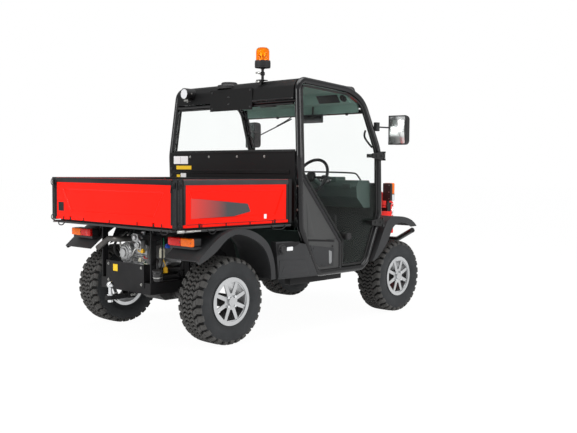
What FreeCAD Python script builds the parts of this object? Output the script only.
import FreeCAD, Part
import math
import os
from types import SimpleNamespace

import Sketcher

# Side by side utility vehicle with an open-backed cab and a tipping cargo bed.
# Millimetres and degrees. +X points forward, +Y to the left and +Z up. The origin is on the
# ground, under the middle of the overall length, and the right-hand side is at negative Y.

# Driving dimensions. Heights are above the ground, and names that end in _reach or _ahead
# are lengths along X from the rear axle.
SIZES = {
    # Whole vehicle
    "overall_length": 3045,
    "body_width": 1610,
    "wheelbase": 2010,
    "rear_overhang": 545,
    "running_gap": 6,
    "seat_gap": 0.3,
    "pin_gap": 0.06,
    "cut_overrun": 20,
    # Wheels and tyres
    "tyre_diameter": 625,
    "tyre_width": 254,
    "lug_height": 15,
    "wheel_track": 1240,
    "rim_diameter": 306,
    "rim_flange_diameter": 342,
    "rim_wall": 7,
    "rim_offset": 112,
    "spoke_thickness": 16,
    "hub_diameter": 96,
    "hub_cap_diameter": 62,
    # Ladder frame and running gear
    "rail_width": 50,
    "rail_height": 80,
    "rail_spread": 550,
    "frame_top": 430,
    "frame_front_reach": 2340,
    "frame_tail": 30,
    "tower_length": 60,
    "bracket_width": 30,
    "tower_height": 300,
    "arm_tube": 28,
    "shaft_diameter": 30,
    "knuckle_width": 50,
    "knuckle_height": 124,
    "kingpin_diameter": 20,
    "knuckle_inset": 118,
    "coil_diameter": 78,
    "damper_diameter": 44,
    "tie_rod": 16,
    # Tow gear at the rear
    "ball_diameter": 50,
    "ball_setback": 36,
    "ball_height": 409,
    "drawbar_width": 64,
    "drawbar_reach": 165,
    "drawbar_height": 28,
    "drawbar_floor": 302,
    "chain_hole": 18,
    "guard_width": 460,
    "guard_height": 168,
    "guard_floor": 392,
    "guard_sheet": 5,
    "guard_flange": 60,
    # Engine, gearbox and exhaust
    "gearbox_length": 300,
    "gearbox_width": 230,
    "gearbox_height": 190,
    "gearbox_floor": 262,
    "engine_length": 520,
    "engine_width": 300,
    "engine_height": 250,
    "engine_floor": 500,
    "engine_tail_gap": 130,
    "engine_left_shift": 60,
    "casting_wall": 12,
    "pipe_diameter": 42,
    # Cab tube work
    "hoop_tube": 52,
    "cab_rear_reach": 664,
    "cab_length": 1004,
    "cab_half_width": 757,
    "cab_lean": 57,
    "sill_height": 440,
    "cab_height": 1490,
    "bar_tube": 36,
    "cross_tube": 38,
    # Cab panels
    "panel_skin": 14,
    "floor_sheet": 16,
    "glass_skin": 6,
    "roof_skin": 20,
    "liner_skin": 12,
    "rear_panel_top": 1384,
    "rear_panel_skin": 14,
    # Doors
    "door_skin": 18,
    "door_seal": 16,
    "hinge_pin": 12,
    "hinge_ahead": 1668,
    "hinge_height": 76,
    "hinge_offset": 48,
    # Seats and controls
    "seat_width": 560,
    "seat_split": 60,
    "seat_base_height": 320,
    "seat_base_length": 400,
    "cushion_length": 450,
    "cushion_height": 120,
    "back_height": 430,
    "back_skin": 110,
    "dash_height": 230,
    "dash_depth": 190,
    "wheel_rim_diameter": 360,
    "wheel_rim_section": 26,
    "column_diameter": 40,
    "driver_offset": 330,
    # Cargo bed
    "bed_length": 1092,
    "bed_width": 1518,
    "bed_floor_height": 872,
    "bed_rail_height": 1170,
    "bed_skin": 30,
    "bed_floor_skin": 22,
    "bed_drop": 20,
    "bed_cab_gap": 86,
    "post_width": 46,
    "bed_beam": 40,
    "bed_pivot_inset": 164,
    "bed_pivot_height": 815,
    "bed_pivot_spread": 640,
    "bed_pin": 24,
    "board_pin": 10,
    "hinge_tab": 14,
    "bed_ear": 12,
    # Lift cylinder
    "lift_bore": 50,
    "lift_rod": 24,
    "lift_offset": 200,
    "lift_foot_ahead": 350,
    "lift_foot_drop": 345,
    "lift_head_ahead": 400,
    "lift_head_rise": 17,
    "lift_barrel_length": 320,
    "lift_eye": 26,
    "lift_pin": 16,
    "lift_slack": 10,
    # Fenders and lower body
    "fender_skin": 7,
    "fender_lip": 16,
    "fender_inner": 452,
    "front_fender_inner": 470,
    "tank_skin": 52,
    # Nose
    "nose_front_reach": 2420,
    "nose_rear_reach": 1700,
    "nose_half_width": 520,
    "nose_top": 1150,
    "nose_floor": 665,
    "nose_skin": 10,
    "bonnet_hinge_spread": 640,
    "radiator_skin": 42,
    "bumper_tube": 48,
    "bumper_half_width": 610,
    "bumper_height": 590,
    # Lamps, mirrors and roof kit
    "lamp_length": 60,
    "tail_lamp_width": 258,
    "tail_lamp_height": 60,
    "tail_lamp_reach": -345,
    "tail_lamp_floor": 716,
    "tail_lamp_inner": 474,
    "signal_width": 84,
    "signal_height": 158,
    "signal_floor": 972,
    "signal_reach": 2040,
    "work_lamp_diameter": 96,
    "mirror_width": 160,
    "mirror_height": 245,
    "mirror_skin": 52,
    "mirror_reach": 1760,
    "mirror_inner": 800,
    "mirror_arm": 12,
    "plate_width": 500,
    "plate_height": 174,
    "plate_sheet": 4,
    "beacon_diameter": 123,
    "beacon_lens_height": 104,
    "beacon_base_height": 55,
    "beacon_pole": 22,
    "beacon_offset": 310,
    "beacon_pole_length": 115,
}

doc = FreeCAD.newDocument("UtilityVehicle")
NODES = {}


class Size:
    """A length worked out from the sheet: its value, with the expression that gives it."""

    def __init__(self, value, text):
        self.value = float(value)
        self.text = text

    def __float__(self):
        return self.value

    def __neg__(self):
        return Size(-self.value, f"(0 - {self.text})")

    def __add__(self, other):
        other = as_size(other)
        return Size(self.value + other.value, f"({self.text} + {other.text})")

    def __sub__(self, other):
        other = as_size(other)
        return Size(self.value - other.value, f"({self.text} - {other.text})")

    def __rsub__(self, other):
        return as_size(other) - self

    def __mul__(self, other):
        other = as_size(other)
        return Size(self.value * other.value, f"({self.text} * {other.text})")

    def __truediv__(self, other):
        other = as_size(other)
        return Size(self.value / other.value, f"({self.text} / {other.text})")

    __radd__ = __add__
    __rmul__ = __mul__


def as_size(number):
    """A Size as it is, or a plain number as a Size of its own."""
    if isinstance(number, Size):
        return number
    return Size(number, f"({float(number):.9g})")


def write_sheet():
    """Put every driving dimension in the spreadsheet, each with its alias."""
    sheet = doc.addObject("Spreadsheet::Sheet", "Sizes")
    for row, (alias, value) in enumerate(SIZES.items(), start=1):
        sheet.set(f"A{row}", alias)
        sheet.set(f"B{row}", str(value))
        sheet.setAlias(f"B{row}", alias)
    doc.recompute()
    return SimpleNamespace(**{alias: Size(value, f"Sizes.{alias}") for alias, value in SIZES.items()})


s = write_sheet()

# Places that several pieces share
REAR_AXLE = s.rear_overhang - s.overall_length / 2
FRONT_AXLE = REAR_AXLE + s.wheelbase
AXLE_HEIGHT = s.tyre_diameter / 2
HALF_TRACK = s.wheel_track / 2
HALF_WIDTH = s.body_width / 2
RAIL_OUTER = s.rail_spread / 2 + s.rail_width / 2
RAIL_INNER = s.rail_spread / 2 - s.rail_width / 2
FRAME_FLOOR = s.frame_top - s.rail_height
KINGPIN = HALF_TRACK - s.knuckle_inset
HOOP_RADIUS = s.hoop_tube / 2
TOP_HALF_WIDTH = s.cab_half_width - s.cab_lean
BED_FRONT = REAR_AXLE + s.cab_rear_reach - s.bed_cab_gap
BED_REAR = BED_FRONT - s.bed_length
BED_HALF = s.bed_width / 2
PIVOT_X = BED_REAR + s.bed_pivot_inset
FRAME_REAR = PIVOT_X - s.frame_tail
FRAME_FRONT = REAR_AXLE + s.frame_front_reach
CAB_TOP = s.sill_height + s.cab_height
SIDES = {"right": -1, "left": 1}


# Helpers that bind document objects to the sheet
def bind(thing, **sizes):
    for prop, size in sizes.items():
        thing.setExpression(prop, as_size(size).text)


def place(thing, x=0, y=0, z=0):
    for axis, size in (("x", x), ("y", y), ("z", z)):
        thing.setExpression(f".Placement.Base.{axis}", as_size(size).text)


def vector(x, y, z):
    return FreeCAD.Vector(float(x), float(y), float(z))


TURNS = {
    "X": FreeCAD.Rotation(FreeCAD.Vector(0, 1, 0), 90),
    "Y": FreeCAD.Rotation(FreeCAD.Vector(1, 0, 0), -90),
    "Z": FreeCAD.Rotation(),
}


def box(name, x, y, z, length, width, height):
    """A box from its lowest corner."""
    solid = doc.addObject("Part::Box", name)
    bind(solid, Length=length, Width=width, Height=height)
    place(solid, x, y, z)
    return solid


def cylinder(name, axis, x, y, z, radius, length):
    """A round bar that starts at a point and runs along +X, +Y or +Z."""
    solid = doc.addObject("Part::Cylinder", name)
    bind(solid, Radius=radius, Height=length)
    solid.Placement.Rotation = TURNS[axis]
    place(solid, x, y, z)
    return solid


def cone(name, axis, x, y, z, first_radius, last_radius, length):
    solid = doc.addObject("Part::Cone", name)
    bind(solid, Radius1=first_radius, Radius2=last_radius, Height=length)
    solid.Placement.Rotation = TURNS[axis]
    place(solid, x, y, z)
    return solid


def ball(name, x, y, z, radius):
    solid = doc.addObject("Part::Sphere", name)
    bind(solid, Radius=radius)
    place(solid, x, y, z)
    return solid


def fuse(name, *solids):
    joined = doc.addObject("Part::MultiFuse", name)
    joined.Shapes = list(solids)
    return joined


def cut(name, base, *tools):
    for index, tool in enumerate(tools):
        result = doc.addObject("Part::Cut", name if index == len(tools) - 1 else f"{name}Step{index}")
        result.Base = base
        result.Tool = tool
        base = result
    return base


def common(name, *solids):
    shared = doc.addObject("Part::MultiCommon", name)
    shared.Shapes = list(solids)
    return shared


def mirrored(name, solid):
    """The same piece on the other side of the vehicle."""
    copy = doc.addObject("Part::Mirroring", name)
    copy.Source = solid
    copy.Normal = (0, 1, 0)
    return copy


def group(name, *solids):
    joined = doc.addObject("Part::Compound", name)
    joined.Links = list(solids)
    return joined


def both_sides(name, solid):
    return group(name, solid, mirrored(f"{name}Mirrored", solid))


def node(label, solid):
    """Name a finished piece: its label is also its file's name."""
    solid.Label = label
    NODES[label] = solid
    return solid


def twin(name, original):
    """A body with the form of another body, for a place of its own."""
    body = doc.addObject("PartDesign::Body", name)
    form = body.newObject("PartDesign::FeatureBase", f"{name}Form")
    form.BaseFeature = original
    body.Tip = form
    return body


def origin_feature(body, role):
    return next(feature for feature in body.Origin.OriginFeatures if feature.Role == role)


def sketch_on(body, name, plane):
    sketch = body.newObject("Sketcher::SketchObject", name)
    sketch.AttachmentSupport = [(origin_feature(body, f"{plane}_Plane"), "")]
    sketch.MapMode = "FlatFace"
    return sketch


def draw_polygon(sketch, points):
    """A closed outline whose corners are each held by two dimensions from the sheet."""
    first = sketch.GeometryCount
    count = len(points)
    for index, (across, up) in enumerate(points):
        next_across, next_up = points[(index + 1) % count]
        sketch.addGeometry(Part.LineSegment(vector(across, up, 0), vector(next_across, next_up, 0)))
    for index in range(count):
        following = first + (index + 1) % count
        sketch.addConstraint(Sketcher.Constraint("Coincident", first + index, 2, following, 1))
    for index, corner in enumerate(points):
        for kind, size in zip(("DistanceX", "DistanceY"), corner):
            size = as_size(size)
            number = sketch.addConstraint(Sketcher.Constraint(kind, -1, 1, first + index, 1, size.value))
            sketch.setExpression(f"Constraints[{number}]", size.text)


def draw_circle(sketch, across, up, radius):
    """A circle held by its centre and its radius."""
    number = sketch.addGeometry(Part.Circle(vector(across, up, 0), vector(0, 0, 1), float(radius)))
    for kind, size in (("DistanceX", across), ("DistanceY", up)):
        size = as_size(size)
        held = sketch.addConstraint(Sketcher.Constraint(kind, -1, 1, number, 3, size.value))
        sketch.setExpression(f"Constraints[{held}]", size.text)
    held = sketch.addConstraint(Sketcher.Constraint("Radius", number, float(radius)))
    sketch.setExpression(f"Constraints[{held}]", as_size(radius).text)


PLANE_AXES = {"XY": (0, 1, 2), "XZ": (0, 2, 1), "YZ": (1, 2, 0)}


def corner_edges(shape, plane, corner):
    """Names of the straight edges that run along the pad at one corner of its outline."""
    across, up, depth = PLANE_AXES[plane]
    names = []
    for number, edge in enumerate(shape.Edges, start=1):
        if len(edge.Vertexes) != 2:
            continue
        start, end = (vertex.Point for vertex in edge.Vertexes)
        runs_along = abs(abs(start[depth] - end[depth]) - edge.Length) < 1e-4
        at_corner = math.dist((start[across], start[up]), [float(size) for size in corner]) < 1e-3
        if runs_along and at_corner:
            names.append(f"Edge{number}")
    return names


def plate(name, plane, loops, depth, at=(0, 0, 0), rounds=(), both_ways=False):
    """A body padded from one sketch. Loops are outlines, the first the outer one, and a round
    gives a radius and the corners of the outer outline that it rounds. An XZ plate grows
    towards -Y, an XY plate towards +Z and a YZ plate towards +X, or half each way."""
    body = doc.addObject("PartDesign::Body", name)
    sketch = sketch_on(body, f"{name}Outline", plane)
    for loop in loops:
        if len(loop) == 3 and not isinstance(loop[0], tuple):
            draw_circle(sketch, *loop)
        else:
            draw_polygon(sketch, loop)
    pad = body.newObject("PartDesign::Pad", f"{name}Pad")
    pad.Profile = sketch
    bind(pad, Length=depth)
    if both_ways:
        pad.SideType = "Symmetric"
    last = pad
    for radius, corners in rounds:
        doc.recompute()
        edges = []
        for corner in corners:
            edges += corner_edges(last.Shape, plane, loops[0][corner])
        fillet = body.newObject("PartDesign::Fillet", f"{name}Round")
        fillet.Base = (last, edges)
        bind(fillet, Radius=radius)
        last = fillet
    place(body, *at)
    return body


def spread(shares, x, z, length, height):
    """An outline from shares of a length and a height, counted from one corner."""
    return [(x + length * across_share, z + height * up_share) for across_share, up_share in shares]


def bent_path(points, bends):
    """Straight runs joined by arcs, one bend radius for each inner point."""
    corners = [vector(*point) for point in points]
    edges = []
    at = corners[0]
    for before, corner, after, bend in zip(corners, corners[1:], corners[2:], bends):
        back = (before - corner).normalize()
        ahead = (after - corner).normalize()
        half = back.getAngle(ahead) / 2
        setback = float(bend) / math.tan(half)
        start = corner + back * setback
        end = corner + ahead * setback
        middle = corner + (back + ahead).normalize() * (float(bend) / math.sin(half) - float(bend))
        edges.append(Part.LineSegment(at, start).toShape())
        edges.append(Part.Arc(start, middle, end).toShape())
        at = end
    edges.append(Part.LineSegment(at, corners[-1]).toShape())
    return Part.Wire(edges)


def feature(name, shape):
    """A piece whose shape is worked out here, from sizes of the sheet."""
    solid = doc.addObject("Part::Feature", name)
    solid.Shape = shape
    return solid


def bent_tube(name, points, bends, diameter):
    """A round tube along a bent path in space."""
    path = bent_path(points, bends)
    start, ahead = (vector(*point) for point in points[:2])
    ring = Part.Wire(Part.Circle(start, (ahead - start).normalize(), float(diameter) / 2).toShape())
    return feature(name, path.makePipeShell([ring], True, False))


def strut(name, start, end, diameter):
    """A round bar between two points in space."""
    start, end = vector(*start), vector(*end)
    run = end - start
    return feature(name, Part.makeCylinder(float(diameter) / 2, run.Length, start, run))


def smooth_edge(points):
    """One edge through a row of points in the XZ plane: a line, or a smooth curve."""
    rows = [vector(x, 0, z) for x, z in points]
    if len(rows) == 2:
        return Part.LineSegment(*rows).toShape()
    curve = Part.BSplineCurve()
    curve.interpolate(rows)
    return curve.toShape()


def smooth_plate(name, runs, inner, depth):
    """A plate on the right-hand side whose outline is a row of smooth runs, end to end."""
    edges = []
    for index, run in enumerate(runs):
        following = runs[(index + 1) % len(runs)]
        edges.append(smooth_edge(run))
        if math.dist([float(size) for size in run[-1]], [float(size) for size in following[0]]) > 1e-6:
            edges.append(smooth_edge([run[-1], following[0]]))
    face = Part.Face(Part.Wire(edges))
    face.translate(vector(0, -inner, 0))
    return feature(name, face.extrude(vector(0, -depth, 0)))


# Wheels
LUG_PAIRS = 24
WINDOW_COUNT = 8
SHOULDER_SHARE = 0.37
SHOULDER_SLOPE = 0.38
TYRE_SHARES = ((0.40, 0.0), (0.40, 0.14), (0.455, 0.21), (0.50, 0.50), (0.49, 0.84), (0.43, 1.0))
LUG_SHARES = ((0.03, 0.10), (0.30, 0.42), (0.50, 0.42), (0.50, -0.42), (0.30, -0.42), (0.03, -0.74))
WINDOW_SHARES = ((0.40, 0.055), (0.92, 0.285), (0.92, -0.285), (0.40, -0.055))


def tyre():
    """A tyre turned about its axle. Slanted tread lugs run round it in two rows, one of each
    hand, and a last groove trims them to the tread radius and slopes their shoulders."""
    name = "Tyre"
    body = doc.addObject("PartDesign::Body", name)
    bead = s.rim_diameter / 2
    carcass = s.tyre_diameter / 2 - s.lug_height
    profile = [(s.tyre_width * across, bead + (carcass - bead) * up) for across, up in TYRE_SHARES]
    profile += [(-across, up) for across, up in reversed(profile)]
    sketch = sketch_on(body, f"{name}Section", "YZ")
    draw_polygon(sketch, profile)
    turned = body.newObject("PartDesign::Revolution", f"{name}Carcass")
    turned.Profile = sketch
    turned.ReferenceAxis = (origin_feature(body, "Y_Axis"), [""])
    turned.Angle = 360
    pitch = s.tyre_diameter * math.pi / LUG_PAIRS
    for index, hand in enumerate((1, -1)):
        lug = sketch_on(body, f"{name}Lug{index}", "XY")
        lug.setExpression("AttachmentOffset.Base.z", (carcass - s.lug_height).text)
        draw_polygon(lug, [(pitch * along, s.tyre_width * across * hand) for across, along in LUG_SHARES])
        pad = body.newObject("PartDesign::Pad", f"{name}LugPad{index}")
        pad.Profile = lug
        bind(pad, Length=s.lug_height * 3)
        ring = body.newObject("PartDesign::PolarPattern", f"{name}LugRing{index}")
        ring.Originals = [pad]
        ring.Axis = (origin_feature(body, "Y_Axis"), [""])
        ring.Angle = 360
        ring.Occurrences = LUG_PAIRS
        body.Tip = ring
    outside = s.tyre_diameter / 2
    shoulder = s.tyre_width * SHOULDER_SHARE
    half = s.tyre_width / 2 + s.cut_overrun
    fall = (half - shoulder) * SHOULDER_SLOPE
    above = outside + s.lug_height * 3
    trim = sketch_on(body, f"{name}Trim", "YZ")
    draw_polygon(trim, [(-half, outside - fall), (-shoulder, outside), (shoulder, outside),
                        (half, outside - fall), (half, above), (-half, above)])
    groove = body.newObject("PartDesign::Groove", f"{name}Round")
    groove.Profile = trim
    groove.ReferenceAxis = (origin_feature(body, "Y_Axis"), [""])
    groove.Angle = 360
    return body


def rim(side_name, side):
    """A cast rim: a barrel with two flanges, and a face of eight spokes round a capped hub."""
    name = f"Rim{side_name}".title()
    body = doc.addObject("PartDesign::Body", name)
    barrel = s.rim_diameter / 2
    inner = barrel - s.rim_wall
    flange = s.rim_flange_diameter / 2
    bead = s.tyre_width * TYRE_SHARES[0][0]
    face = s.rim_offset
    back = face - s.spoke_thickness
    hub = s.hub_cap_diameter / 2
    outline = [(-face, inner), (-face, flange), (-bead, flange), (-bead, barrel), (bead, barrel),
               (bead, flange), (face, flange), (face, inner), (face - s.rim_wall, inner),
               (face - s.rim_wall, hub), (face + s.rim_wall, hub), (face + s.rim_wall, 0),
               (back, 0), (back, inner)]
    sketch = sketch_on(body, f"{name}Section", "YZ")
    draw_polygon(sketch, [(across * side, up) for across, up in outline])
    turned = body.newObject("PartDesign::Revolution", f"{name}Barrel")
    turned.Profile = sketch
    turned.ReferenceAxis = (origin_feature(body, "Y_Axis"), [""])
    turned.Angle = 360
    window = sketch_on(body, f"{name}Window", "XZ")
    draw_polygon(window, [(inner * across, inner * up) for across, up in WINDOW_SHARES])
    opening = body.newObject("PartDesign::Pocket", f"{name}Opening")
    opening.Profile = window
    opening.Type = "ThroughAll"
    opening.SideType = "Symmetric"
    ring = body.newObject("PartDesign::PolarPattern", f"{name}Openings")
    ring.Originals = [opening]
    ring.Axis = (origin_feature(body, "Y_Axis"), [""])
    ring.Angle = 360
    ring.Occurrences = WINDOW_COUNT
    body.Tip = ring
    return body


def wheels():
    """One tyre form and a rim form for each side, set at the four corners."""
    tyre_form = tyre()
    for side_name, side in SIDES.items():
        rim_form = rim(side_name, side)
        for end_name, x in (("rear", REAR_AXLE), ("front", FRONT_AXLE)):
            for piece, form in (("tyre", tyre_form), ("rim", rim_form)):
                label = f"{piece}_{end_name}_{side_name}"
                wheel_piece = twin(label.title().replace("_", ""), form)
                place(wheel_piece, x, HALF_TRACK * side, AXLE_HEIGHT)
                node(label, wheel_piece)


# Frame and running gear
def lift_foot():
    """Where the lift cylinder's barrel turns on the frame."""
    return (PIVOT_X + s.lift_foot_ahead, s.bed_pivot_height - s.lift_foot_drop)


def lift_head():
    """Where the lift cylinder's rod meets the bed."""
    return (PIVOT_X + s.lift_head_ahead, s.bed_pivot_height + s.lift_head_rise)


def main_frame():
    """A welded ladder frame: two box rails, cross members and the towers over both axles."""
    rear, front = FRAME_REAR, FRAME_FRONT
    length = front - rear
    outer = [(rear, -RAIL_OUTER), (front, -RAIL_OUTER), (front, RAIL_OUTER), (rear, RAIL_OUTER)]
    bay_shares = (0.02, 0.27, 0.29, 0.50, 0.52, 0.75, 0.77, 0.98)
    bays = []
    for start, end in zip(bay_shares[::2], bay_shares[1::2]):
        bays.append([(rear + length * start, -RAIL_INNER), (rear + length * end, -RAIL_INNER),
                     (rear + length * end, RAIL_INNER), (rear + length * start, RAIL_INNER)])
    ladder = plate("Ladder", "XY", [outer] + bays, s.rail_height, at=(0, 0, FRAME_FLOOR))
    parts = [ladder]
    for end_name, axle in (("Rear", REAR_AXLE), ("Front", FRONT_AXLE)):
        for side_name, side in SIDES.items():
            y = s.rail_spread / 2 * side - s.rail_width / 2
            parts.append(box(f"Tower{end_name}{side_name}", axle - s.tower_length / 2, y, s.frame_top,
                             s.tower_length, s.rail_width, s.tower_height))
    post_top = s.bed_pivot_height + s.bed_pin
    for side_name, side in SIDES.items():
        y = RAIL_OUTER - s.bed_ear if side > 0 else -RAIL_OUTER
        post = box(f"PivotPost{side_name}", PIVOT_X - s.bed_pin, y, s.frame_top - s.rail_height / 2,
                   s.bed_pin * 2, s.bed_ear, post_top - s.frame_top + s.rail_height / 2)
        reach = s.bed_pivot_spread / 2 + s.bed_ear - s.rail_spread / 2
        start = s.rail_spread / 2 if side > 0 else -(s.rail_spread / 2 + reach)
        pin = cylinder(f"PivotPin{side_name}", "Y", PIVOT_X, start, s.bed_pivot_height,
                       s.bed_pin / 2, reach)
        parts += [post, pin]
    foot_x, foot_z = lift_foot()
    shelf = box("LiftShelf", foot_x - s.lift_eye, -RAIL_INNER, s.frame_top - s.rail_height / 2,
                s.lift_eye * 2, RAIL_INNER - s.lift_offset + s.lift_eye * 1.5, s.bed_ear)
    parts.append(shelf)
    ear_low = s.frame_top - s.rail_height / 2
    for index, y in enumerate((-s.lift_offset - s.lift_eye * 1.2, -s.lift_offset + s.lift_eye * 0.7)):
        parts.append(box(f"LiftFootEar{index}", foot_x - s.lift_eye, y, ear_low, s.lift_eye * 2,
                         s.lift_eye * 0.5, foot_z + s.lift_eye * 0.5 - ear_low))
    parts.append(cylinder("LiftFootPin", "Y", foot_x, -s.lift_offset - s.lift_eye, foot_z,
                          s.lift_pin / 2, s.lift_eye * 2))
    for side_name, side in SIDES.items():
        rail_y = s.rail_spread / 2 * side - s.rail_width / 2
        top = s.frame_top + s.tower_height
        reach = s.fender_inner + s.bracket_width - RAIL_INNER
        beam_top = AXLE_HEIGHT + AXLE_HEIGHT * REAR_CROWN_SHARES[4][1] - s.fender_skin * 0.5
        parts.append(box(f"BracketPost{side_name}", REAR_AXLE - s.bracket_width / 2, rail_y, top,
                         s.bracket_width, s.rail_width, beam_top - top))
        parts.append(box(f"FenderBeam{side_name}", REAR_AXLE - s.bracket_width / 2,
                         RAIL_INNER if side > 0 else -(RAIL_INNER + reach), beam_top - s.bracket_width,
                         s.bracket_width, reach, s.bracket_width))
    return node("main_frame", cut("MainFrame", fuse("MainFrameWhole", *parts), NODES["rear_fenders"]))


def wishbone(name, axle, reach, inner_z, outer_z):
    """One forked arm from the rail to the kingpin, on the right-hand side."""
    bar = s.arm_tube
    bend = KINGPIN - s.knuckle_width
    slope = plate(f"{name}Slope", "YZ", [[
        (-RAIL_OUTER, inner_z - bar / 2), (-RAIL_OUTER, inner_z + bar / 2), (-bend, outer_z + bar / 2),
        (-KINGPIN, outer_z + bar / 2), (-KINGPIN, outer_z - bar / 2), (-bend, outer_z - bar / 2)]],
        reach * 2 + bar * 2, at=(axle - reach - bar, 0, 0))
    fork = plate(f"{name}Fork", "XY", [[
        (axle - reach - bar / 2, -RAIL_OUTER), (axle - bar / 2, -KINGPIN), (axle + bar / 2, -KINGPIN),
        (axle + reach + bar / 2, -RAIL_OUTER), (axle + reach - bar / 2, -RAIL_OUTER), (axle, -bend),
        (axle - reach + bar / 2, -RAIL_OUTER)]], s.tyre_diameter)
    arm = common(f"{name}Arm", slope, fork)
    eye = cylinder(f"{name}Eye", "Z", axle, -KINGPIN, outer_z - bar / 2, bar * 0.8, bar)
    bore = cylinder(f"{name}Bore", "Z", axle, -KINGPIN, outer_z - bar, s.kingpin_diameter / 2 + s.pin_gap,
                    bar * 2)
    return cut(name, fuse(f"{name}Joined", arm, eye), bore)


def axle_gear():
    """Wishbones with eyes at their outer ends, and the uprights that turn in them at the front
    and stay put at the rear."""
    rear_parts = []
    face = HALF_TRACK + s.rim_offset - s.spoke_thickness - s.seat_gap
    rise = s.knuckle_height / 2 + s.arm_tube / 2 + s.seat_gap
    arms = []
    for end_name, axle in (("Rear", REAR_AXLE), ("Front", FRONT_AXLE)):
        arms.append(wishbone(f"{end_name}Lower", axle, s.tower_length * 2, FRAME_FLOOR + s.arm_tube / 2,
                             AXLE_HEIGHT - rise))
        arms.append(wishbone(f"{end_name}Upper", axle, s.tower_length * 1.2, s.frame_top - s.arm_tube,
                             AXLE_HEIGHT + rise))
    node("suspension_arms", both_sides("SuspensionArms", group("ArmsRight", *arms)))
    for end_name, axle in (("rear", REAR_AXLE), ("front", FRONT_AXLE)):
        for side_name, side in SIDES.items():
            name = f"Knuckle{end_name}{side_name}".title()
            near = KINGPIN - s.knuckle_width / 2
            start = near if side > 0 else -(near + s.knuckle_width)
            block = box(f"{name}Block", axle - s.knuckle_width / 2, start, AXLE_HEIGHT - s.knuckle_height / 2,
                        s.knuckle_width, s.knuckle_width, s.knuckle_height)
            pin = cylinder(f"{name}Pin", "Z", axle, KINGPIN * side, AXLE_HEIGHT - rise - s.arm_tube / 2,
                           s.kingpin_diameter / 2, rise * 2 + s.arm_tube)
            hub = cylinder(f"{name}Hub", "Y", axle, KINGPIN if side > 0 else -face, AXLE_HEIGHT,
                           s.hub_diameter / 2, face - KINGPIN)
            parts = [block, pin, hub]
            if end_name == "front":
                arm_y = KINGPIN if side > 0 else -(KINGPIN + s.knuckle_width / 2)
                parts.append(box(f"{name}SteerArm", axle - s.knuckle_height, arm_y,
                                 AXLE_HEIGHT - s.tie_rod / 2, s.knuckle_height, s.knuckle_width / 2,
                                 s.tie_rod))
                node(f"knuckle_{side_name}", fuse(name, *parts))
            else:
                rear_parts.append(fuse(name, *parts))
    node("rear_uprights", group("RearUprights", *rear_parts))


def coil_overs():
    """A coil spring round a damper beside each tower, from the tower's top to the lower arm."""
    sides = []
    for end_name, axle in (("Rear", REAR_AXLE), ("Front", FRONT_AXLE)):
        y = -(RAIL_OUTER + s.coil_diameter / 2 + s.seat_gap)
        foot = s.frame_top + s.arm_tube * 3
        top = s.frame_top + s.tower_height
        spring = cylinder(f"Spring{end_name}", "Z", axle, y, foot + s.arm_tube,
                          s.coil_diameter / 2, top - foot - s.arm_tube * 2)
        damper = cylinder(f"Damper{end_name}", "Z", axle, y, foot - s.arm_tube, s.damper_diameter / 2,
                          top - foot + s.arm_tube)
        sides.append(fuse(f"CoilOver{end_name}", spring, damper))
    right = group("CoilOversRight", *sides)
    node("coil_overs", both_sides("CoilOvers", right))


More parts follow.
